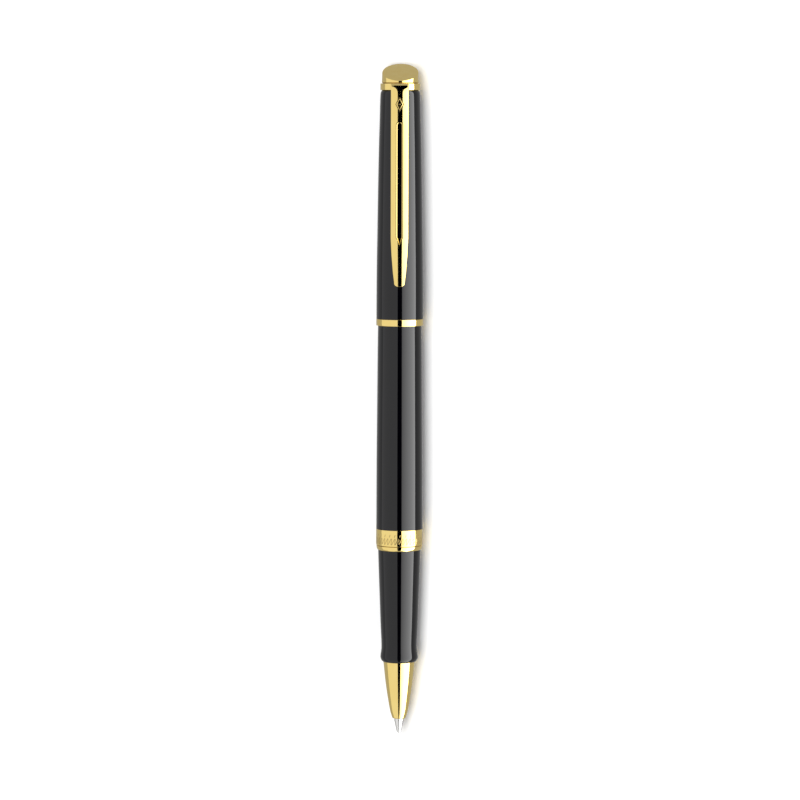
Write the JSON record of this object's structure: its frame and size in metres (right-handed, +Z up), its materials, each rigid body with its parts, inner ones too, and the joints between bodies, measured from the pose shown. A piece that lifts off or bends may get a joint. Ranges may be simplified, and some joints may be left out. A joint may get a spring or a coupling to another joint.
{
  "type": "rollerball pen",
  "caption": "Slim lacquered rollerball pen with its cap posted, slotted spring clip, slanted crown, gilt rings, unscrewing section and a spring-loaded refill.",
  "frame": {"origin": "centre of the bounding box's base, below the pen's axis halfway along it; the axis is 5.2 mm above it", "axes": "+Y along the pen from the writing end to the finial, +Z up through the clip, +X across the pen"},
  "size_m": [0.0104, 0.1484, 0.0117],
  "materials": {
    "lacquer": "polished black lacquer over brass tube",
    "section_black": "polished black moulding",
    "gilt": "polished gold plate over brass",
    "bare_brass": "turned, unplated",
    "nickel_silver": "turned nickel silver",
    "carbide": "polished tungsten carbide",
    "refill_metal": "satin nickel plate",
    "refill_plastic": "moulded",
    "ink_fibre": "ink-soaked fibre",
    "liner_plastic": "moulded",
    "spring_steel": "drawn wire"
  },
  "bodies": {
    "barrel": {"barrel_tube": "lacquer", "centre_band": "gilt", "thread_bush": "bare_brass", "tail_bush": "liner_plastic", "spring": "spring_steel"},
    "cap_seat": {"inner_cap": "liner_plastic"},
    "cap": {"cap_tube": "lacquer", "cap_ring": "gilt", "clip_collar": "gilt", "finial": "gilt", "cap_screw": "spring_steel", "lock_washer": "spring_steel"},
    "clip": {"clip": "gilt"},
    "refill": {"refill_tip": "nickel_silver", "tip_holder": "refill_plastic", "ink_feed": "ink_fibre", "ink_reservoir": "ink_fibre", "refill_tube": "refill_metal", "refill_plug": "refill_plastic"},
    "section": {"nose_cone": "gilt", "grip_sleeve": "section_black", "section_core": "bare_brass", "section_ring": "gilt"},
    "ball": {"ball": "carbide"}
  },
  "joints": [
    {"name": "cap_pull", "type": "slide", "parent": "barrel", "child": "cap_seat", "axis": [0, 1, 0], "range_m": [0, 0.032]},
    {"name": "cap_turn", "type": "hinge", "parent": "cap_seat", "child": "cap", "pos_m": [0, 0.05, 0.0052], "axis": [0, 1, 0], "continuous": true},
    {"name": "clip_flex", "type": "hinge", "parent": "cap", "child": "clip", "pos_m": [0, 0.06895, 0.0094], "axis": [-1, 0, 0], "range_deg": [0, 3], "stiffness_Nm_per_rad": 3},
    {"name": "refill_advance", "type": "slide", "parent": "barrel", "child": "refill", "axis": [0, -1, 0], "range_m": [0, 0.0048], "deforming": ["spring"]},
    {"name": "section_turn", "type": "hinge", "parent": "refill", "child": "section", "pos_m": [0, -0.045, 0.0052], "axis": [0, -1, 0], "range_deg": [0, 2162]},
    {"name": "ball_roll", "type": "hinge", "parent": "refill", "child": "ball", "pos_m": [0, -0.0738, 0.0052], "axis": [1, 0, 0], "continuous": true}
  ],
  "couplings": [
    {"joint": "section_turn", "follows": "refill_advance", "rad_per_m": 7854}
  ]
}
